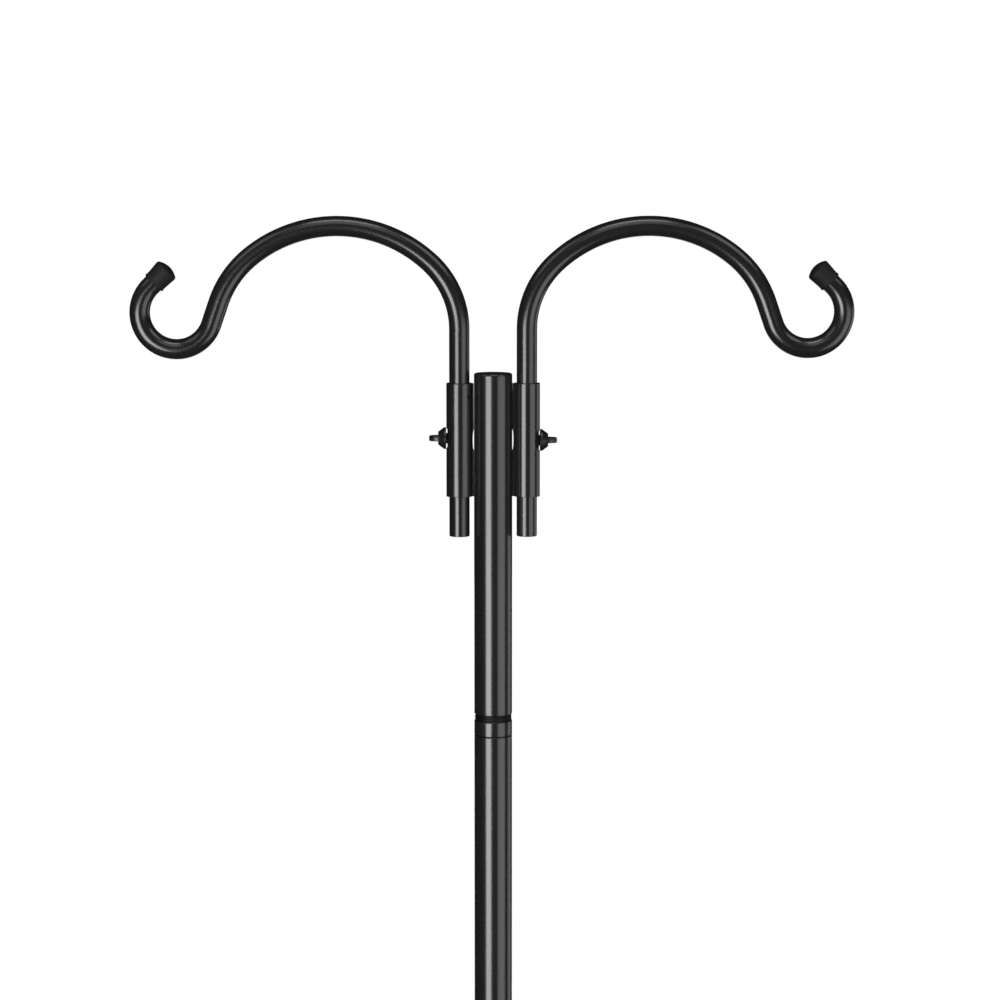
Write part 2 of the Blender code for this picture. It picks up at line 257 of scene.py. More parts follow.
class Tree:
    """A material's node tree, with one method that makes any node."""

    def __init__(self, material: bpy.types.Material) -> None:
        """Empties the material's tree and adds its output and its shader."""
        material.use_nodes = True
        self.nodes = material.node_tree.nodes
        self.links = material.node_tree.links
        self.nodes.clear()
        self.shader = self.add("ShaderNodeBsdfPrincipled")
        self.output = self.add("ShaderNodeOutputMaterial", inputs={"Surface": self.shader.outputs["BSDF"]})
        coordinates = self.add("ShaderNodeTexCoord")
        self.place = coordinates.outputs["Object"]

    def add(self, kind: str, settings: dict | None = None, inputs: dict | None = None) -> bpy.types.Node:
        """Adds a node.

        Args:
            kind: The node's type.
            settings: Its properties, set before its sockets.
            inputs: A value, a Value or a socket for each named or numbered input.

        Returns:
            The node.
        """
        node = self.nodes.new(kind)
        for name, setting in (settings or {}).items():
            setattr(node, name, setting)
        for name, given in (inputs or {}).items():
            self.feed(node.inputs[name], given)
        return node

    def feed(self, socket: bpy.types.NodeSocket, given: object) -> None:
        """Links a Value or a socket to an input, or sets the input to a number or colour."""
        source = given.socket if isinstance(given, Value) else given
        if isinstance(source, bpy.types.NodeSocket):
            self.links.new(source, socket)
        else:
            socket.default_value = source

    def math(self, operation: str, first: Value | float, second: Value | float = 0.0) -> Value:
        """One Math node."""
        node = self.add("ShaderNodeMath", {"operation": operation}, {0: first, 1: second})
        return Value(self, node.outputs["Value"])

    def noise(self, size: float, detail: float = 2.0, roughness: float = 0.5) -> Value:
        """Noise from 0 to 1 whose features are about size metres across."""
        inputs = {"Vector": self.place, "Scale": 1 / size, "Detail": detail, "Roughness": roughness}
        return Value(self, self.add("ShaderNodeTexNoise", {}, inputs).outputs["Fac"])

    def cells(self, size: float) -> Value:
        """The distance to the nearest of scattered points about size metres apart, in cell sizes."""
        inputs = {"Vector": self.place, "Scale": 1 / size}
        return Value(self, self.add("ShaderNodeTexVoronoi", {}, inputs).outputs["Distance"])

    def distance_from(self, point: Sequence[float]) -> Value:
        """The distance in metres from a fixed point."""
        node = self.add("ShaderNodeVectorMath", {"operation": "DISTANCE"}, {0: self.place, 1: point})
        return Value(self, node.outputs["Value"])

    def height(self) -> Value:
        """The height Z in metres."""
        node = self.add("ShaderNodeSeparateXYZ", {}, {"Vector": self.place})
        return Value(self, node.outputs["Z"])

    def mix(
        self, factor: Value, low: Sequence[float], high: Sequence[float] | bpy.types.NodeSocket
    ) -> bpy.types.NodeSocket:
        """A colour between a colour and another colour or a colour socket."""
        above = high if isinstance(high, bpy.types.NodeSocket) else (*high, 1.0)
        inputs = {0: factor, MIX_A: (*low, 1.0), MIX_B: above}
        return self.add("ShaderNodeMix", {"data_type": "RGBA"}, inputs).outputs[MIX_RESULT]

    def coat(self, colour: bpy.types.NodeSocket, roughness: Value) -> None:
        """Feeds the shader's colour and roughness."""
        self.feed(self.shader.inputs["Base Color"], colour)
        self.feed(self.shader.inputs["Roughness"], roughness)

    def bump(self, height: Value, depth: float) -> None:
        """Feeds the shader's normal with a relief.

        Args:
            height: The relief, from 0 to 1.
            depth: What a height of 1 is in metres.
        """
        node = self.add("ShaderNodeBump", {}, {"Strength": 1.0, "Distance": depth, "Height": height})
        self.feed(self.shader.inputs["Normal"], node.outputs["Normal"])


# ---------------------------------------------------------------- finishes


@dataclass(frozen=True)
class Finish:
    """A named finish. Subclasses draw its pattern.

    Attributes:
        slot: The record's material slot.
        dark: The darker of its two colours.
        light: The lighter of its two colours.
        roughness: Its mean roughness.
    """

    slot: str
    dark: tuple[float, float, float]
    light: tuple[float, float, float]
    roughness: float

    def material(self) -> bpy.types.Material:
        """The finish's material, made the first time that it is asked for."""
        name = f"{self.slot}_finish"
        found = bpy.data.materials.get(name)
        if found is None:
            found = bpy.data.materials.new(name)
            self.draw(Tree(found))
        return found

    def draw(self, tree: Tree) -> None:
        """Sets the shader's inputs."""
        raise NotImplementedError


@dataclass(frozen=True)
class PowderCoat(Finish):
    """Smooth black powder coat: soft orange peel, faint flow marks and a little fine dust.

    Attributes:
        peel: Depth of the orange peel in metres.
        marks: Points with small near-black spots round them.
        mark_radius: The spots' radius.
        spot_colour: Their colour.
    """

    peel: float = 0.0015 * MM
    marks: tuple[tuple[float, float, float], ...] = ()
    mark_radius: float = 1.25 * MM
    spot_colour: tuple[float, float, float] = (0.0004, 0.0004, 0.0004)

    def draw(self, tree: Tree) -> None:
        """Colour and roughness drift with broad noise, and the relief is cells under fine noise.

        Inside each spot the colour is near-black and the shader fully metallic, which takes its reflection away as
        well.
        """
        flow = tree.noise(45 * MM, 3.0)
        grain = tree.noise(0.9 * MM, 2.0)
        dust = tree.noise(0.35 * MM, 1.0).step(0.70, 0.82) * tree.noise(16 * MM, 2.0).step(0.45, 0.75)
        clean = 1 - self.spot_mask(tree)
        coat = tree.mix(flow * 0.7 + dust * 0.5, self.dark, self.light)
        roughness = self.roughness - 0.02 + flow * 0.03 + grain * 0.005 + dust * 0.04
        # Near-black colour inside each spot round a mark, the coat's own colours elsewhere.
        tree.coat(tree.mix(clean, self.spot_colour, coat), roughness)
        tree.feed(tree.shader.inputs["Metallic"], 1 - clean)
        tree.feed(tree.shader.inputs["Coat Weight"], clean * 0.1)
        tree.shader.inputs["Coat Roughness"].default_value = 0.15
        peel = tree.cells(5 * MM) * 0.9 + grain * 0.1
        tree.bump(peel * clean, self.peel)

    def spot_mask(self, tree: Tree) -> Value:
        """1 inside each mark and 0 outside it."""
        total = tree.math("MULTIPLY", 0.0, 0.0)
        for mark in self.marks:
            near = 1 - tree.distance_from(mark).step(0.6 * self.mark_radius, self.mark_radius)
            total = total.highest(near)
        return total


@dataclass(frozen=True)
class ThreadCoat(Finish):
    """Black coat on cut thread, mottled with fine grit and broad smears."""

    def draw(self, tree: Tree) -> None:
        """Fine noise drives both the colour and the roughness."""
        grit = tree.noise(0.5 * MM, 4.0, 0.65)
        smear = tree.noise(5 * MM, 2.0)
        tree.coat(
            tree.mix(grit * 0.6 + smear * 0.4, self.dark, self.light),
            self.roughness - 0.08 + grit * 0.12 + smear * 0.06,
        )
        tree.shader.inputs["Specular IOR Level"].default_value = 0.3
        tree.bump(grit, 0.02 * MM)


@dataclass(frozen=True)
class CastCoat(Finish):
    """Satin black over a die-cast screw head: a pebbled skin and rubbed high spots."""

    def draw(self, tree: Tree) -> None:
        """Pebbles are the relief, and a broad rub lowers the roughness where fingers turn it."""
        pebble = tree.cells(0.55 * MM)
        rub = tree.noise(4 * MM, 2.0).step(0.35, 0.7)
        tree.coat(
            tree.mix(pebble * 0.5 + rub * 0.5, self.dark, self.light),
            self.roughness + pebble * 0.08 - rub * 0.08,
        )
        tree.bump(pebble + tree.noise(0.25 * MM) * 0.4, 0.03 * MM)


@dataclass(frozen=True)
class BlackWithPaintedShade(Finish):
    """A black nut sitting in shade. Its near-black colour and near-absent sheen are partly painted shade. It has a
    sooty mottle.
    """

    def draw(self, tree: Tree) -> None:
        """A fine mottle drives both the colour and the roughness."""
        mottle = tree.noise(0.6 * MM, 4.0, 0.6)
        tree.coat(tree.mix(mottle, self.dark, self.light), self.roughness + mottle * 0.1)
        # Sheen cut almost away so that the nut reads as the shade round it: painted shade.
        tree.shader.inputs["Specular IOR Level"].default_value = 0.08
        tree.bump(mottle, 0.02 * MM)


@dataclass(frozen=True)
class MouldedRubber(Finish):
    """Matt black rubber with a fine spark-eroded grain, a dry bloom and a few pinholes."""

    def draw(self, tree: Tree) -> None:
        """The bloom lightens the colour, and grain and pinholes are the relief."""
        bloom = tree.noise(6 * MM, 4.0, 0.6).step(0.3, 0.75)
        grain = tree.noise(0.28 * MM, 3.0, 0.6)
        holes = tree.cells(1.9 * MM).step(0.05, 0.14)
        tree.coat(
            tree.mix(bloom * 0.7 + grain * 0.3, self.dark, self.light),
            self.roughness - 0.06 + grain * 0.1 + bloom * 0.06,
        )
        tree.shader.inputs["Specular IOR Level"].default_value = 0.25
        tree.bump(grain * 0.5 + holes * 0.5, 0.05 * MM)


@dataclass(frozen=True)
class MouldedPlastic(Finish):
    """Black moulded plastic with a fine satin texture."""

    def draw(self, tree: Tree) -> None:
        """A fine grain drives colour, roughness and relief together."""
        grain = tree.noise(0.4 * MM, 3.0)
        tree.coat(tree.mix(grain, self.dark, self.light), self.roughness + grain * 0.1)
        tree.bump(grain, 0.02 * MM)


DARK_SPOT_RISE = 30.3 * MM
DARK_SPOT_OFFSETS = ((6.3 * MM, -6.6 * MM), (12.6 * MM, -7.6 * MM))


def dark_spot_centres() -> tuple[tuple[float, float, float], ...]:
    """The centres of the two small near-black spots beside the left sleeve's upper weld, in front of the slit."""
    sleeve = middle("left_sleeve")
    return tuple((sleeve.x + x, y, sleeve.z + DARK_SPOT_RISE) for x, y in DARK_SPOT_OFFSETS)


COAT_DARK, COAT_LIGHT = (0.0095, 0.0096, 0.0101), (0.0140, 0.0141, 0.0147)
POLE_PAINT = PowderCoat("pole_paint", COAT_DARK, COAT_LIGHT, 0.22, marks=dark_spot_centres())
ARM_PAINT = PowderCoat("arm_paint", COAT_DARK, COAT_LIGHT, 0.23)
# A darker coat than the pole's. It stands in for the shade in the slit between pole and sleeve, so it is partly
# painted shade.
WELD_PAINT_AND_SHADE = PowderCoat("weld_paint", (0.006, 0.006, 0.0063), (0.010, 0.010, 0.0104), 0.3, peel=0.008 * MM)
JOINT_PAINT = PowderCoat("joint_paint", COAT_DARK, COAT_LIGHT, 0.22)
THREAD_BLACK = ThreadCoat("thread_black", (0.003, 0.003, 0.0031), (0.006, 0.006, 0.0063), 0.36)
SCREW_BLACK = CastCoat("screw_black", (0.005, 0.005, 0.0053), (0.011, 0.011, 0.0114), 0.32)
# The nut's near-black colour and missing sheen are partly painted shade.
NUT_BLACK_AND_SHADE = BlackWithPaintedShade("nut_black", (0.002, 0.002, 0.002), (0.005, 0.005, 0.005), 0.7)
CAP_RUBBER = MouldedRubber("cap_rubber", (0.005, 0.005, 0.0052), (0.011, 0.011, 0.0114), 0.6)
PLUG_BLACK = MouldedPlastic("plug_black", (0.008, 0.008, 0.0083), (0.015, 0.015, 0.0155), 0.45)
HAIRLINES = {
    (Side.LEFT, "upper"): (0.09 * MM, 0.20 * MM),
    (Side.LEFT, "lower"): (0.07 * MM, 0.05 * MM),
    (Side.RIGHT, "upper"): (-0.12 * MM, 0.12 * MM),
    (Side.RIGHT, "lower"): (-0.12 * MM, -0.12 * MM),
}


def make_piece(
    name: str, shells: Sequence[Shell], finish: Finish, body: str, replaces: Sequence[str] = ()
) -> bpy.types.Object:
    """Makes one object of closed shells, dresses it and hangs it on its body.

    Args:
        name: The piece's name.
        shells: Its closed surfaces, in place in the frame.
        finish: The finish that covers it.
        body: The CAD body that it moves with.
        replaces: The CAD nodes that it stands for.

    Returns:
        The object, at the origin.
    """
    offsets = np.cumsum([0] + [len(shell.points) for shell in shells])
    faces = [tuple(i + int(at) for i in face) for at, shell in zip(offsets, shells) for face in shell.faces]
    mesh = bpy.data.meshes.new(name)
    mesh.from_pydata(np.vstack([shell.points for shell in shells]).tolist(), [], faces)
    mesh.validate()
    mesh.shade_smooth()
    mesh.set_sharp_from_angle(angle=SMOOTH_ANGLE)
    mesh.materials.append(finish.material())
    piece = bpy.data.objects.new(name, mesh)
    bpy.context.scene.collection.objects.link(piece)
    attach(piece, body)
    if replaces:
        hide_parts(*replaces)
    LOG.info("%s: %d faces on %s", name, len(mesh.polygons), body)
    return piece


def dress_node(node: str, finish: Finish) -> None:
    """Gives a CAD node that stays as it is a finish."""
    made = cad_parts[node]
    made.data.materials.clear()
    made.data.materials.append(finish.material())


# ---------------------------------------------------------------- the pole


@dataclass
class PoleTube:
    """A pole section: a tube with a small round on its rims and a socket open at each end.

    Attributes:
        node: The CAD node that it stands for.
        body: The body that it moves with.
        rim: Radius of the round on its outer rims.
        wall: Thickness of its wall.
        socket: How deep its ends are open.
    """

    node: str
    body: str
    rim: float = 0.5 * MM
    wall: float = 1.2 * MM
    socket: float = 26 * MM

    def bounds(self) -> tuple[float, float, float]:
        """Its radius, lower end and upper end."""
        low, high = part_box(self.node)
        return (high.x - low.x) / 2, low.z, high.z

    def outline(self) -> Array:
        """From the floor of the lower socket, out and up round the wall, to that of the upper one."""
        radius, low, high = self.bounds()
        bore = radius - self.wall
        return rounded([
            (0, low + self.socket, 0), (bore, low + self.socket, 0), (bore, low, 0.2 * MM),
            (radius, low, self.rim), (radius, high, self.rim), (bore, high, 0.2 * MM),
            (bore, high - self.socket, 0), (0, high - self.socket, 0),
        ])

    def build(self) -> None:
        """Makes the section."""
        make_piece(f"{self.node}_tube", [turned(self.outline())], POLE_PAINT, self.body, [self.node])


@dataclass
class TopTube(PoleTube):
    """The top section, whose upper end is closed by a plug let in flush."""

    top_round: float = 1.5 * MM
    seat: float = 1.1 * MM

    def outline(self) -> Array:
        """The wall as on any section, but round at the top, with a shallow seat for the plug."""
        radius, low, high = self.bounds()
        bore = radius - self.wall
        return rounded([
            (0, low + self.socket, 0), (bore, low + self.socket, 0), (bore, low, 0.2 * MM),
            (radius, low, self.rim), (radius, high, self.top_round), (bore - 0.5 * MM, high, 0.15 * MM),
            (bore - 0.5 * MM, high - self.seat, 0), (0, high - self.seat, 0),
        ], 8)

    def build(self) -> None:
        """Makes the tube and the plug."""
        super().build()
        radius, _, high = self.bounds()
        edge = radius - self.wall - 0.5 * MM - 0.12 * MM
        disc = rounded([
            (0, high - self.seat, 0), (edge, high - self.seat, 0), (edge, high, 0.25 * MM), (0, high, 0),
        ])
        make_piece("top_plug_disc", [turned(disc)], POLE_PAINT, self.body, ["pole_top_plug"])


@dataclass
class PoleJoint:
    """A coupler between two sections: flush collar, threaded neck and the spigot above it.

    Attributes:
        number: The joint's number, from the ground up.
        body: The body that its coupler moves with.
        insert_body: The body that its insert moves with.
    """

    number: int
    body: str
    insert_body: str
    collar: float = 10.85 * MM
    neck: float = 4.8 * MM
    pitch: float = 1.6 * MM
    neck_root: float = 12.5 * MM
    neck_crest: float = 13.1 * MM
    spigot_root: float = 9.9 * MM
    spigot_crest: float = 10.6 * MM
    wall: float = 1.5 * MM
    rim: float = 0.6 * MM

    def build(self) -> None:
        """Makes the coupler, and dresses the insert that stays hidden in the tube above."""
        node = f"coupler_{self.number}"
        low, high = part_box(node)
        radius = (high.x - low.x) / 2
        foot = high.z - 22 * MM - self.collar - self.neck
        plug = radius - self.wall
        ring = rounded([
            (0, foot - 4 * MM, 0), (plug, foot - 4 * MM, 0), (plug, foot + FIT_GAP, 0),
            (radius, foot + FIT_GAP, self.rim), (radius, foot + self.collar, self.rim),
            (self.neck_root - 0.3 * MM, foot + self.collar, 0),
            (self.neck_root - 0.3 * MM, foot + self.collar + 1 * MM, 0), (0, foot + self.collar + 1 * MM, 0),
        ])
        make_piece(f"{node}_collar", [turned(ring)], JOINT_PAINT, self.body, [node])

        start, end = foot + self.collar, foot + self.collar + self.neck - FIT_GAP
        neck = np.linspace(start, end, 60)
        radii = thread_radii(neck, self.neck_root, self.neck_crest, self.pitch)
        spigot = np.linspace(end, high.z, 170 if self.insert_body != self.body else 24)
        above = thread_radii(spigot, self.spigot_root, self.spigot_crest, self.pitch)
        shell = turned_with(np.vstack([radii, above]), np.concatenate([neck, spigot]))
        make_piece(f"{node}_thread", [shell], THREAD_BLACK, self.body)
        dress_node(f"insert_{self.number}", THREAD_BLACK)


# ---------------------------------------------------------------- the head's two sides


@dataclass
class Sleeve:
    """A sleeve with a blind round seat in its outer wall for the nut, and the nut in it.

    Attributes:
        side: Which side of the pole.
        bore: Radius of its bore.
        seat_radius: Radius of the seat, seen along X.
        seat_depth: How deep the seat's floor lies below the outer surface.
    """

    side: Side
    bore: float = 7.6 * MM
    seat_radius: float = 7.4 * MM
    seat_depth: float = 1.1 * MM
    rim: float = 0.35 * MM
    nut_radius: float = 7.1 * MM
    nut_bore: float = 4.3 * MM
    nut_face: float = 8.4 * MM
    columns: int = 96

    def build(self) -> None:
        """Makes the sleeve and its nut."""
        word = self.side.word
        low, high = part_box(f"{word}_sleeve")
        radius, offset = (high.x - low.x) / 2, abs(middle(f"{word}_sleeve").x)
        screw = middle(f"{word}_screw_shank").z
        shell = self.wall(radius, low.z, high.z, screw).moved(shifted(x=offset)).moved(self.side.place)
        make_piece(f"{word}_sleeve_tube", [shell], POLE_PAINT, "head", [f"{word}_sleeve"])
        nut = self.nut().moved(shifted(x=offset, z=screw)).moved(self.side.place)
        make_piece(f"{word}_clamp_nut", [nut], NUT_BLACK_AND_SHADE, "head", [f"{word}_screw_nut"])

    def wall(self, radius: float, low: float, high: float, screw: float) -> Shell:
        """The sleeve's closed wall about the Z axis.

        The outer side is a grid of angle t and height z. A block of it round the seat is replaced
        by rings that blend from the block's edge to the circle y^2 + z^2 = seat_radius^2, which lies
        on the wall at t = asin(y / radius). The seat then drops to a floor parallel to the wall.
        """
        step = math.tau / self.columns
        half = 17
        angles = (np.arange(self.columns) - half) * step
        block_z = np.linspace(screw - 9 * MM, screw + 9 * MM, 31)
        heights = np.concatenate([
            np.linspace(low + self.rim, block_z[0], 12)[:-1], block_z,
            np.linspace(block_z[-1], high - self.rim, 12)[1:],
        ])
        rows, columns = len(heights), self.columns
        flat_t, flat_z = np.meshgrid(angles, heights)
        outer = np.stack([radius * np.cos(flat_t), radius * np.sin(flat_t), flat_z], axis=-1)

        first, last = 11, 11 + len(block_z) - 1
        edge = [(first, c) for c in range(2 * half)]
        edge += [(r, 2 * half) for r in range(first, last)]
        edge += [(last, c) for c in range(2 * half, 0, -1)]
        edge += [(r, 0) for r in range(last, first, -1)]
        border = np.array(edge)
        edge_t, edge_z = angles[border[:, 1]], heights[border[:, 0]] - screw
        bearing = np.arctan2(edge_z, radius * np.sin(edge_t))
        hole_y, hole_z = self.seat_radius * np.cos(bearing), self.seat_radius * np.sin(bearing)
        hole_t = np.arcsin(hole_y / radius)

        points = [outer.reshape(-1, 3)]
        for share in (0.45, 0.75, 0.92, 1.0):
            t = edge_t + share * (hole_t - edge_t)
            z = edge_z + share * (hole_z - edge_z)
            points.append(np.stack([radius * np.cos(t), radius * np.sin(t), z + screw], axis=-1))
        floor = radius - self.seat_depth
        for scale in (0.985, 0.97, 0.6, 0.25):
            y, z = scale * hole_y, scale * hole_z
            x = np.sqrt(floor**2 - y**2) + (self.seat_depth * 0.9 if scale == 0.985 else 0)
            points.append(np.stack([x, y, z + screw], axis=-1))
        points.append(np.array([[floor, 0, screw]]))

        faces: list[tuple[int, ...]] = []
        for r in range(rows - 1):
            for c in range(columns):
                if first <= r < last and c < 2 * half:
                    continue
                after = (c + 1) % columns
                here, above = r * columns, (r + 1) * columns
                faces.append((here + c, here + after, above + after, above + c))
        loop = [int(r * columns + c) for r, c in edge]
        base, count = rows * columns, len(loop)
        for ring in range(8):
            inner = [base + ring * count + k for k in range(count)]
            for k in range(count):
                after = (k + 1) % count
                faces.append((loop[k], loop[after], inner[after], inner[k]))
            loop = inner
        centre = base + 8 * count
        faces += [(loop[k], loop[(k + 1) % count], centre) for k in range(count)]

        lip = rounded([
            (radius, high - 2 * self.rim, 0), (radius, high, self.rim), (self.bore, high, 0.2 * MM),
            (self.bore, low, 0.2 * MM), (radius, low, self.rim), (radius, low + 2 * self.rim, 0),
        ])[2:-2]
        inside = np.stack([
            lip[:, :1] * np.cos(angles), lip[:, :1] * np.sin(angles), lip[:, 1:] * np.ones(columns)
        ], axis=-1)
        start = centre + 1
        points.append(inside.reshape(-1, 3))
        index = start + np.arange(len(lip) * columns).reshape(len(lip), columns)
        chain = np.vstack([np.arange((rows - 1) * columns, rows * columns), index, np.arange(columns)])
        ahead = np.roll(chain, -1, axis=1)
        quads = np.stack([chain[:-1], ahead[:-1], ahead[1:], chain[1:]], axis=-1).reshape(-1, 4)
        faces += [tuple(quad) for quad in quads.tolist()]
        return Shell(np.vstack(points), faces).outward()

    def nut(self) -> Shell:
        """The nut about +X: a ring whose inner end follows the bore, x = sqrt(bore^2 - y^2)."""
        angles = np.linspace(0, math.tau, AROUND, endpoint=False)
        chamfer = 0.4 * MM

        def ring(radius: float, x: float | None) -> Array:
            """One ring of the nut, at x or, where that is None, on the bore's surface."""
            y, z = radius * np.cos(angles), radius * np.sin(angles)
            depth = np.sqrt((self.bore + FIT_GAP / 2) ** 2 - y**2) if x is None else np.full(AROUND, x)
            return np.stack([depth, y, z], axis=-1)

        return looped(np.stack([
            ring(self.nut_radius, None), ring(self.nut_radius, self.nut_face - chamfer),
            ring(self.nut_radius - chamfer, self.nut_face), ring(self.nut_bore + chamfer, self.nut_face),
            ring(self.nut_bore, self.nut_face - chamfer), ring(self.nut_bore, None),
        ]))


@dataclass
class WeldStrip:
    """The coated weld that fills the slit between pole and sleeve, but for an open lens at the nut.

    Attributes:
        side: Which side of the pole.
        half_width: Half its width from front to back.
        lens: Half the open lens's height.
        opened: The share of the slit that the lens opens at its middle.
        ripple: The distance between its ripples.
    """

    side: Side
    half_width: float = 2.3 * MM
    lens: float = 7.4 * MM
    opened: float = 0.86
    ripple: float = 2.6 * MM

    def build(self) -> None:
        """Makes the stretch above the lens and the one below it."""
        word = self.side.word
        sleeve_low, sleeve_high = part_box(f"{word}_sleeve")
        pole_low, pole_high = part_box("top_pole")
        pole, sleeve = (pole_high.x - pole_low.x) / 2, (sleeve_high.x - sleeve_low.x) / 2
        offset, centre = abs(middle(f"{word}_sleeve").x), middle(f"{word}_sleeve").z
        reach = sleeve_high.z - centre
        for part, sign in (("upper", 1.0), ("lower", -1.0)):
            heights = np.linspace(FIT_GAP / 2, reach - 0.2 * MM, 200)
            crack = self.crack(part, heights / reach)
            shell = self.strip(heights, crack, pole, sleeve, offset)
            flip = np.array([1.0, 1.0, sign])
            placed = Shell(shell.points * flip + np.array([0, 0, centre]), shell.faces).outward()
            placed = placed.moved(self.side.place)
            make_piece(f"{word}_{part}_weld_bead", [placed], WELD_PAINT_AND_SHADE, "head", [f"{word}_{part}_weld"])

    def crack(self, part: str, share: Array) -> Array:
        """The hairline left open between strip and pole, from the lens (share 0) to the end (1)."""
        inner, outer = HAIRLINES[self.side, part]
        return inner + (outer - inner) * share

    def strip(self, heights: Array, crack: Array, pole: float, sleeve: float, offset: float) -> Shell:
        """Rings across the slit, one for each height.

        The side towards the pole is the plane x = pole + crack, and within the lens it moves off by
        opened * gap * sqrt(1 - (z / lens)^2). The side on the sleeve is the sleeve's own curve. The
        width swells and shrinks with the ripples.
        """
        width = self.half_width * (1 + 0.05 * np.sin(heights * math.tau / self.ripple))
        y = np.linspace(-1, 1, 7)[None, :] * width[:, None]
        clear = self.opened * (offset - pole - sleeve) * np.sqrt(np.clip(1 - (heights / self.lens) ** 2, 0, 1))
        on_pole = np.broadcast_to((pole + np.maximum(crack, clear))[:, None], y.shape)
        on_sleeve = offset - np.sqrt(sleeve**2 - y**2) + 0.12 * MM
        x = np.concatenate([on_pole, on_sleeve[:, ::-1]], axis=1)
        across = np.concatenate([y, y[:, ::-1]], axis=1)
        lift = np.broadcast_to(heights[:, None], x.shape)
        return rings(np.stack([x, across, lift], axis=-1))


@dataclass(frozen=True)
class Bend:
    """A bend of the arm's centreline, clockwise seen from the front on the right-hand side."""

    radius: float
    turn: float


class TubePath:
    """A centreline in the X-Z plane, drawn from straights and bends."""

    def __init__(self, start: tuple[float, float]) -> None:
        """Starts at a point, heading straight up."""
        self.points = np.array([start])
        self.headings = np.array([0.0])

    def straight(self, length: float, steps: int) -> TubePath:
        """Adds a straight: P + s (sin h, cos h) for s up to the length."""
        heading = self.headings[-1]
        s = np.linspace(0, length, steps + 1)[1:, None]
        ahead = self.points[-1] + s * np.array([math.sin(heading), math.cos(heading)])
        return self.extend(ahead, np.full(steps, heading))

    def bend(self, bend: Bend, step: float = 2.0) -> TubePath:
        """Adds an arc: the centre C lies radius to the inner side, and P = C - radius n(h)."""
        steps = math.ceil(abs(bend.turn) / step)
        side = math.copysign(1.0, bend.turn)
        now = self.headings[-1] + np.radians(bend.turn) * np.arange(1, steps + 1) / steps
        centre = self.points[-1] + side * bend.radius * self.inward(self.headings[-1:])[0]
        return self.extend(centre - side * bend.radius * self.inward(now), now)

    def extend(self, points: Array, headings: Array) -> TubePath:
        """Adds stations at the end."""
        self.points = np.vstack([self.points, points])
        self.headings = np.concatenate([self.headings, headings])
        return self

    @staticmethod
    def inward(headings: Array) -> Array:
        """The unit vectors to the right of the headings."""
        return np.stack([np.cos(headings), -np.sin(headings)], axis=-1)


@dataclass
class HookArm:
    """A bent hook arm, with the plug in its foot and the rubber cap on its tip.

    Attributes:
        side: Which side of the pole.
        stem: Length of the straight stem.
        arch: The three bends up and over.
        drop: The straight between the arch and the hook.
        hook: The hook's bend, the other way round.
        tip: Length of the straight tip.
    """

    side: Side
    stem: float = 145.8 * MM
    arch: tuple[Bend, ...] = (Bend(63.5 * MM, 47.1), Bend(95.7 * MM, 82.0), Bend(71 * MM, 32.0))
    drop: float = 15.7 * MM
    hook: Bend = Bend(25.55 * MM, -206.1)
    tip: float = 13 * MM
    bore: float = 5.95 * MM
    foot_depth: float = 10 * MM
    cap_start: float = 3.5 * MM

    def path(self) -> TubePath:
        """The centreline, from the stem's foot to the tip."""
        word = self.side.word
        path = TubePath((abs(middle(f"{word}_sleeve").x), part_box(f"{word}_arm")[0].z))
        path.straight(self.stem, 40)
        for bend in self.arch:
            path.bend(bend)
        return path.straight(self.drop, 6).bend(self.hook).straight(self.tip, 6)

    def build(self) -> None:
        """Makes the tube, the plug and the cap."""
        word = self.side.word
        low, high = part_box(f"{word}_arm")
        radius = (high.y - low.y) / 2
        path = self.path()
        tube = self.tube(path, radius).moved(self.side.place)
        make_piece(f"{word}_arm_tube", [tube], ARM_PAINT, f"{word}_arm", [f"{word}_arm"])

        axis = float(path.points[0, 0])
        edge = self.bore - 0.15 * MM
        plug = turned(rounded([
            (0, low.z + 0.6 * MM, 0), (edge - 1.6 * MM, low.z + 0.6 * MM, 0.3 * MM),
            (edge - 1.2 * MM, low.z - 0.1 * MM, 0.2 * MM), (edge, low.z - 0.1 * MM, 0.3 * MM),
            (edge, low.z + self.foot_depth, 0), (0, low.z + self.foot_depth, 0),
        ])).moved(shifted(x=axis)).moved(self.side.place)
        make_piece(f"{word}_foot_plug", [plug], PLUG_BLACK, f"{word}_arm_lift", [f"{word}_arm_plug"])

        HookCap(self.side).build(path, self.tip - self.cap_start, radius)

    def tube(self, path: TubePath, radius: float) -> Shell:
        """Circles across the centreline: P + r (cos a n + sin a Y), with n to the heading's right.

        The foot is open to the depth of its plug, and its rim and the tip's are rounded.
        """
        rim = 0.3 * MM
        angles = np.linspace(0, math.tau, 64, endpoint=False)
        points, headings = path.points, path.headings
        sizes = np.full(len(points), radius)
        foot = points[0]
        inner = [(self.bore, self.foot_depth + 1 * MM), (self.bore, rim), (self.bore + rim, 0), (radius - rim, 0)]
        start = np.array([[foot[0], foot[1] + up] for _, up in inner])
        at_start = (np.arange(len(points)) == 0)[:, None]
        points = np.vstack([start, points + np.array([0, rim]) * at_start, points[-1:]])
        headings = np.concatenate([np.zeros(len(inner)), headings, headings[-1:]])
        sizes = np.concatenate([[size for size, _ in inner], sizes, [radius - 1 * MM]])
        normal = TubePath.inward(headings)
        x = points[:, :1] + sizes[:, None] * np.cos(angles) * normal[:, :1]
        z = points[:, 1:] + sizes[:, None] * np.cos(angles) * normal[:, 1:]
        y = sizes[:, None] * np.sin(angles)
        return rings(np.stack([x, y, z], axis=-1))


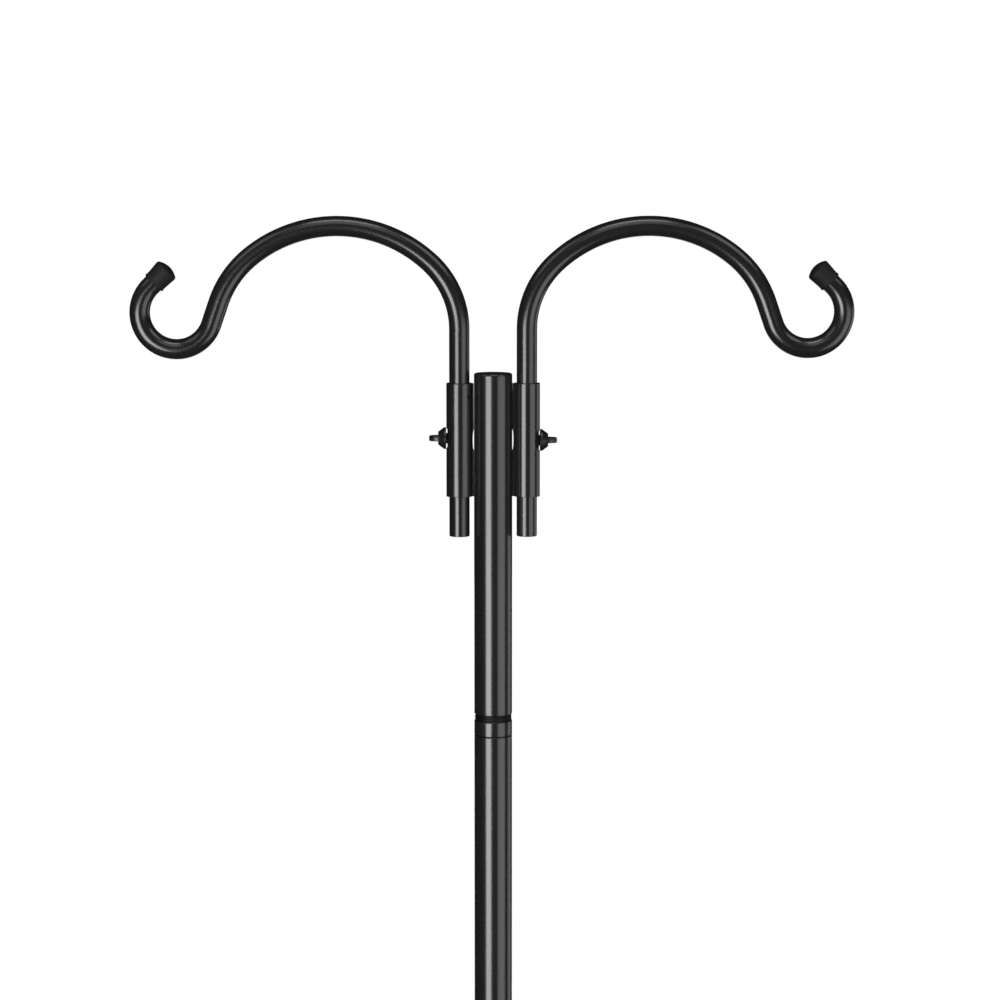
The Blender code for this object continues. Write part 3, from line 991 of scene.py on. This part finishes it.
@dataclass
class HookCap:
    """The rubber cap on a hook's tip: a rolled lip, a waist and a flare to a domed end.

    Attributes:
        side: Which side of the pole.
        length: From its lip to the crown of its dome.
        lip: Outer radius of the lip.
        waist: Outer radius behind the lip.
        end: Outer radius at the end.
        dome: Height of the domed end.
    """

    side: Side
    length: float = 16 * MM
    lip: float = 8.15 * MM
    waist: float = 7.95 * MM
    end: float = 8.7 * MM
    dome: float = 3 * MM

    def build(self, path: TubePath, covered: float, tube: float) -> None:
        """Makes the cap.

        Args:
            path: The arm's centreline.
            covered: How much of the tip it covers.
            tube: The arm tube's radius.
        """
        word = self.side.word
        heading = float(path.headings[-1])
        ahead = np.array([math.sin(heading), math.cos(heading)])
        mouth = path.points[-1] - covered * ahead
        shell = turned(self.outline(tube, covered))
        across = np.array([math.cos(heading), 0, -math.sin(heading)])
        along = np.array([ahead[0], 0, ahead[1]])
        basis = np.stack([across, np.array([0, 1.0, 0]), along])
        placed = shell.moved(lambda points: points @ basis + np.array([mouth[0], 0, mouth[1]]))
        placed = placed.moved(self.side.place)
        make_piece(f"{word}_rubber_cap", [placed], CAP_RUBBER, f"{word}_arm", [f"{word}_hook_cap"])

    def outline(self, tube: float, covered: float) -> Array:
        """From the crown of the dome down the flare to the lip, and up the bore to its floor."""
        shoulder = self.length - self.dome
        t = np.linspace(0, 1, 14)
        crown = np.stack([0.86 * self.end * t, self.length - self.dome * 0.72 * t**2], axis=-1)
        flare = rounded([
            (*crown[-1], 0), (self.end, shoulder, 2.0 * MM), (self.waist + 0.1 * MM, 0.35 * shoulder, 6 * MM),
            (self.waist, 1.9 * MM, 0.3 * MM), (self.lip, 1.6 * MM, 0.3 * MM), (self.lip, 0, 0.5 * MM),
            (tube + 0.05 * MM, 0, 0.3 * MM), (tube + 0.05 * MM, covered, 0), (0, covered, 0),
        ], 6)
        return np.vstack([crown, flare[1:]])


@dataclass
class ThumbScrew:
    """A thumb screw about +X: threaded shank, flanged conical hub and a flat oval tab.

    Attributes:
        side: Which side of the pole.
        pitch: Its thread's pitch.
        flange: Thickness of the flange.
        seating: How much closer to the sleeve the flange sits than the CAD head.
        tab_half_width: Half the tab's width.
        tab_thickness: The tab's thickness.
    """

    side: Side
    pitch: float = 1.25 * MM
    flange: float = 1.4 * MM
    seating: float = 0.2 * MM
    nose: float = 4.55 * MM
    hub_length: float = 5.4 * MM
    tab_half_width: float = 6 * MM
    tab_thickness: float = 3.7 * MM
    tab_round: float = 0.45 * MM

    def build(self) -> None:
        """Makes the shank and the head."""
        word = self.side.word
        shank_low, shank_high = self.span(f"{word}_screw_shank")
        head_low, head_high = self.span(f"{word}_screw_head")
        height = middle(f"{word}_screw_head").z
        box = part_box(f"{word}_screw_head")
        radius = (box[1].z - box[0].z) / 2

        def placed(shell: Shell) -> Shell:
            """A shell about Z, turned to lie along X at the screw's height on its side."""
            return shell.moved(facing_x).moved(shifted(z=height)).moved(self.side.place)

        heights = np.linspace(shank_low, shank_high + 0.6 * MM, 40)
        shank = turned_with(thread_radii(heights, 3.45 * MM, 3.95 * MM, self.pitch, 64), heights)
        make_piece(
            f"{word}_thumb_shank", [placed(shank)], SCREW_BLACK, f"{word}_screw_slide", [f"{word}_screw_shank"]
        )
        nose = head_low + self.hub_length
        seat = head_low - self.seating
        hub = turned(rounded([
            (0, seat, 0), (radius, seat, 0.25 * MM), (radius, seat + self.flange, 0.4 * MM),
            (self.nose, nose, 0.5 * MM), (0, nose, 0),
        ]))
        tab = self.tab(head_low + 2 * self.flange, head_high)
        make_piece(
            f"{word}_thumb_head", [placed(hub), placed(tab)], SCREW_BLACK, f"{word}_screw", [f"{word}_screw_head"]
        )

    @staticmethod
    def span(node: str) -> tuple[float, float]:
        """A node's nearest and farthest distance from the pole's axis along X."""
        low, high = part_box(node)
        return min(abs(low.x), abs(high.x)), max(abs(low.x), abs(high.x))

    def tab(self, root: float, end: float) -> Shell:
        """The tab with +Z along the screw, y across it and x through its thickness.

        Its edge is the half oval (y, z) = (w cos a, c + l sin a) closed by a straight root, and each
        ring is that edge drawn in towards its middle by d as x nears the faces: x = +-(t/2 - r + r
        sin b), d = r (1 - cos b).
        """
        lobes = np.linspace(-0.5, 0.5, 41) * math.pi
        length = 1.15 * self.tab_half_width
        centre = end - length
        y = np.concatenate([[-self.nose + 0.4 * MM], self.tab_half_width * np.sin(lobes), [self.nose - 0.4 * MM]])
        z = np.concatenate([[root], centre + length * np.cos(lobes), [root]])
        rim, half = self.tab_round, self.tab_thickness / 2
        turns = np.radians(np.linspace(-90, 90, 15))
        inset = rim * (1 - np.cos(turns))
        depth = np.sign(turns) * (half - rim) + rim * np.sin(turns)
        middle_z = (root + end) / 2
        inset_y = 1 - inset[:, None] / self.tab_half_width
        inset_z = 1 - inset[:, None] / ((end - root) / 2)
        rows = np.stack([
            np.broadcast_to(depth[:, None], (len(turns), len(y))), y * inset_y, middle_z + (z - middle_z) * inset_z
        ], axis=-1)
        return rings(rows)


# ---------------------------------------------------------------- the ground base


@dataclass
class GroundBase:
    """The base tube, its welded collar, the spike's point and the four prongs.

    Attributes:
        collar_round: The round on the collar's rims.
        bead: Radius of the weld bead round the tube above the collar.
        bar_round: The round along the prongs' edges.
    """

    collar_round: float = 0.8 * MM
    bead: float = 1.6 * MM
    bar_round: float = 0.7 * MM
    bar_width: float = 20 * MM
    bar_thickness: float = 4 * MM
    bar_bend: float = 6 * MM
    point_length: float = 30 * MM
    body: str = "ground_pole"

    def build(self) -> None:
        """Makes the base's pieces."""
        PoleTube("base_tube", self.body).build()
        self.build_collar()
        self.build_spike()
        for number, word in enumerate(("right", "back", "left", "front")):
            self.build_prong(word, number * math.pi / 2)

    def build_collar(self) -> None:
        """The collar's ring and the rippled bead that welds it to the tube."""
        low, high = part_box("base_collar")
        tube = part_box("base_tube")[1].x
        outline = rounded([
            (tube, low.z, 0), (high.x, low.z, self.collar_round), (high.x, high.z, self.collar_round),
            (tube, high.z, 0),
        ])
        rows = outline[:, :1, None] * self.circle(AROUND)[None] + outline[:, 1:, None] * np.array([0, 0, 1.0])
        angles = np.linspace(0, math.tau, 240, endpoint=False)
        turns = np.linspace(0, math.tau, 20, endpoint=False)
        size = self.bead * (1 + 0.08 * np.sin(angles * 34))
        radius = tube + 0.2 * MM + size * np.cos(turns)[:, None]
        lift = high.z + size * np.sin(turns)[:, None]
        bead = np.stack([radius * np.cos(angles), radius * np.sin(angles), lift], axis=-1)
        make_piece("base_collar_ring", [looped(rows)], POLE_PAINT, self.body, ["base_collar"])
        make_piece("base_collar_bead", [looped(bead)], WELD_PAINT_AND_SHADE, self.body)

    @staticmethod
    def circle(count: int) -> Array:
        """Unit vectors round Z."""
        angles = np.linspace(0, math.tau, count, endpoint=False)
        return np.stack([np.cos(angles), np.sin(angles), np.zeros(count)], axis=-1)

    def build_spike(self) -> None:
        """The turned cone, with a blunt tip and a shoulder against the tube."""
        low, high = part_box("spike_point")
        radius = high.x
        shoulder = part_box("base_tube")[0].z - FIT_GAP
        outline = rounded([
            (0, low.z, 0), (1.5 * MM, low.z, 0.8 * MM), (radius, shoulder - 1 * MM, 2 * MM),
            (radius, shoulder, 0.3 * MM), (radius - 1.5 * MM, shoulder, 0),
            (radius - 1.5 * MM, shoulder + 3 * MM, 0), (0, shoulder + 3 * MM, 0),
        ], 6)
        make_piece("spike_cone", [turned(outline)], POLE_PAINT, self.body, ["spike_point"])

    def build_prong(self, word: str, angle: float) -> None:
        """A flat bar with rounded edges, swept out, round the bend and down to its point.

        Each station is a rounded rectangle across the path, and over the last stretch both its
        width and its thickness shrink in proportion to the distance that is left.
        """
        right_low, right_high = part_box("right_prong")
        half = self.bar_thickness / 2
        reach, start = right_high.x - half, right_low.x
        out = np.linspace(start, reach - self.bar_bend, 12)
        turn = np.radians(np.linspace(0, 90, 16))[1:]
        depth = right_high.z - half - self.bar_bend
        down = np.linspace(depth, right_low.z, 60)[1:]
        x = np.concatenate([out, reach - self.bar_bend + self.bar_bend * np.sin(turn), np.full(len(down), reach)])
        z = np.concatenate([
            np.full(len(out), right_high.z - half), depth + self.bar_bend * np.cos(turn), down,
        ])
        heading = np.concatenate([np.zeros(len(out)), turn, np.full(len(down), math.pi / 2)])
        left = np.clip((z - right_low.z) / self.point_length, 0.06, 1)
        corners = np.linspace(0, math.tau, 24, endpoint=False) + math.tau / 48
        wide = (self.bar_width / 2 - self.bar_round) * np.sign(np.cos(corners)) + self.bar_round * np.cos(corners)
        thick = (half - self.bar_round) * np.sign(np.sin(corners)) + self.bar_round * np.sin(corners)
        across = wide * left[:, None]
        through = thick * left[:, None]
        rows = np.stack([
            x[:, None] + through * np.sin(heading)[:, None], across,
            z[:, None] + through * np.cos(heading)[:, None],
        ], axis=-1)
        spin = np.array(Matrix.Rotation(angle, 3, "Z"))
        shell = rings(rows).moved(lambda points: points @ spin.T)
        make_piece(f"{word}_prong_bar", [shell], POLE_PAINT, self.body, [f"{word}_prong"])


# ---------------------------------------------------------------- the studio


@dataclass
class SoftBox:
    """A soft light that faces the pole's axis and that the camera doesn't see.

    Attributes:
        name: Its name.
        azimuth: Degrees to the right of the front, seen from above.
        distance: How far from the pole.
        height: The height that it turns about.
        width: Its width.
        tall: Its height.
        radiance: How bright its surface is.
        tilt: Degrees that it stands above that height.
    """

    name: str
    azimuth: float
    distance: float
    height: float
    width: float
    tall: float
    radiance: float
    tilt: float = 0.0

    @classmethod
    def strip(
        cls, name: str, azimuth: float, distance: float, width: float, radiance: float, foot: float, top: float
    ) -> SoftBox:
        """An upright strip light that reaches from one height to another."""
        return cls(name, azimuth, distance, (foot + top) / 2, width, top - foot, radiance)

    def build(self) -> None:
        """Adds the light."""
        data = bpy.data.lights.new(self.name, "AREA")
        data.shape = "RECTANGLE"
        data.size, data.size_y = self.width, self.tall
        data.energy = self.radiance * self.width * self.tall * math.pi
        light = bpy.data.objects.new(self.name, data)
        angle, tilt = math.radians(self.azimuth), math.radians(self.tilt)
        away = Vector((math.sin(angle) * math.cos(tilt), -math.cos(angle) * math.cos(tilt), math.sin(tilt)))
        light.location = Vector((0, 0, self.height)) + away * self.distance
        light.rotation_mode = "QUATERNION"
        light.rotation_quaternion = away.to_track_quat("Z", "Y")
        light.visible_camera = False
        bpy.context.scene.collection.objects.link(light)


@dataclass
class Studio:
    """The camera, the floor, the lights and the surroundings.

    Attributes:
        lens: Focal length for a 36 mm wide sensor.
        azimuth: Degrees that the camera stands to the right of the front.
        distance: How far it stands from the pole's axis.
        above: How far above the thumb screws it stands.
        pitch: Degrees that it looks down.
        aim: Degrees that it looks to the right of the pole.
        floor_radius: The floor's radius.
        floor_thick: Its thickness.
        floor_round: The round on its rim.
        surround: How bright the surroundings are to all but the camera.
        backdrop: How bright they are to the camera.
    """

    lens: float = 108.0
    azimuth: float = -1.456
    distance: float = 2.1012
    above: float = 0.2004
    pitch: float = 6.6
    aim: float = 0.132
    floor_radius: float = 1.6
    floor_thick: float = 10 * MM
    floor_round: float = 4 * MM
    surround: float = 0.015
    backdrop: float = 1.0

    def build(self) -> None:
        """Builds everything round the object."""
        self.build_camera()
        self.build_floor()
        self.build_world()
        for light in (
            SoftBox.strip("key_strip", -29.5, 3.0, 1.65, 9.6, 0.0, 1.66),
            SoftBox.strip("fill_wide", 50.5, 3.4, 2.9, 2.25, -1.4, 1.75),
            SoftBox.strip("rim_strip", 113.0, 3.2, 1.8, 1.1, 0.0, 1.75),
            SoftBox.strip("back_strip", 180.0, 3.2, 1.9, 1.4, -0.7, 1.0),
            SoftBox("left_panel", -62.0, 3.0, 1.65, 1.6, 1.5, 1.3, tilt=45.0),
            SoftBox("right_panel", 62.0, 3.0, 1.65, 1.6, 1.5, 2.1, tilt=45.0),
            SoftBox("front_panel", 0.0, 3.0, 1.65, 1.6, 1.4, 1.3, tilt=42.0),
            SoftBox("top_panel", 0.0, 3.0, 1.65, 1.6, 0.9, 4.5, tilt=68.0),
        ):
            light.build()

    def build_camera(self) -> None:
        """Adds the camera and makes it the scene's."""
        data = bpy.data.cameras.new("camera")
        data.lens = self.lens
        data.sensor_width = 36.0
        camera = bpy.data.objects.new("camera", data)
        around = math.radians(self.azimuth)
        away = Vector((math.sin(around), -math.cos(around), 0))
        camera.location = away * self.distance + Vector((0, 0, middle("right_sleeve").z + self.above))
        camera.rotation_euler = (math.radians(90 - self.pitch), 0, math.radians(self.azimuth - self.aim))
        bpy.context.scene.collection.objects.link(camera)
        bpy.context.scene.camera = camera

    def build_floor(self) -> None:
        """Adds a round pale floor just below the spike's point."""
        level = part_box("spike_point")[0].z - 0.5 * MM
        below = level - self.floor_thick
        outline = rounded([
            (0, below, 0), (self.floor_radius, below, self.floor_round),
            (self.floor_radius, level, self.floor_round), (0, level, 0),
        ])
        shell = turned(outline, 160)
        mesh = bpy.data.meshes.new("floor")
        mesh.from_pydata(shell.points.tolist(), [], shell.faces)
        mesh.shade_smooth()
        mesh.set_sharp_from_angle(angle=SMOOTH_ANGLE)
        material = bpy.data.materials.new("floor_matt")
        tree = Tree(material)
        tree.coat(
            tree.mix(tree.noise(0.3, 3.0), (0.80, 0.80, 0.80), (0.86, 0.86, 0.86)),
            tree.noise(0.02) * 0.1 + 0.7,
        )
        mesh.materials.append(material)
        floor = bpy.data.objects.new("floor", mesh)
        bpy.context.scene.collection.objects.link(floor)
        floor.visible_glossy = False

    def build_world(self) -> None:
        """A white backdrop for the camera, over dim surroundings that light and reflect."""
        world = bpy.data.worlds.new("studio")
        bpy.context.scene.world = world
        world.use_nodes = True
        nodes, links = world.node_tree.nodes, world.node_tree.links
        nodes.clear()
        path = nodes.new("ShaderNodeLightPath")
        dim, white = nodes.new("ShaderNodeBackground"), nodes.new("ShaderNodeBackground")
        dim.inputs["Color"].default_value = (1, 1, 1, 1)
        dim.inputs["Strength"].default_value = self.surround
        white.inputs["Color"].default_value = (1, 1, 1, 1)
        white.inputs["Strength"].default_value = self.backdrop
        blend, output = nodes.new("ShaderNodeMixShader"), nodes.new("ShaderNodeOutputWorld")
        links.new(path.outputs["Is Camera Ray"], blend.inputs["Fac"])
        links.new(dim.outputs["Background"], blend.inputs[1])
        links.new(white.outputs["Background"], blend.inputs[2])
        links.new(blend.outputs["Shader"], output.inputs["Surface"])


def main() -> None:
    """Builds the studio and every sub-assembly, from the ground up."""
    logging.basicConfig(level=logging.INFO, format="%(name)s %(message)s")
    bpy.context.scene.view_settings.view_transform = "Standard"
    Studio().build()
    GroundBase().build()
    for number in (1, 2, 3):
        PoleTube(f"pole_section_{number}", "ground_pole").build()
        PoleJoint(number, "ground_pole", "ground_pole").build()
    PoleJoint(4, "ground_pole", "head_lift").build()
    TopTube("top_pole", "head").build()
    for side in Side:
        Sleeve(side).build()
        WeldStrip(side).build()
        HookArm(side).build()
        ThumbScrew(side).build()


if __name__ == "__main__":
    main()
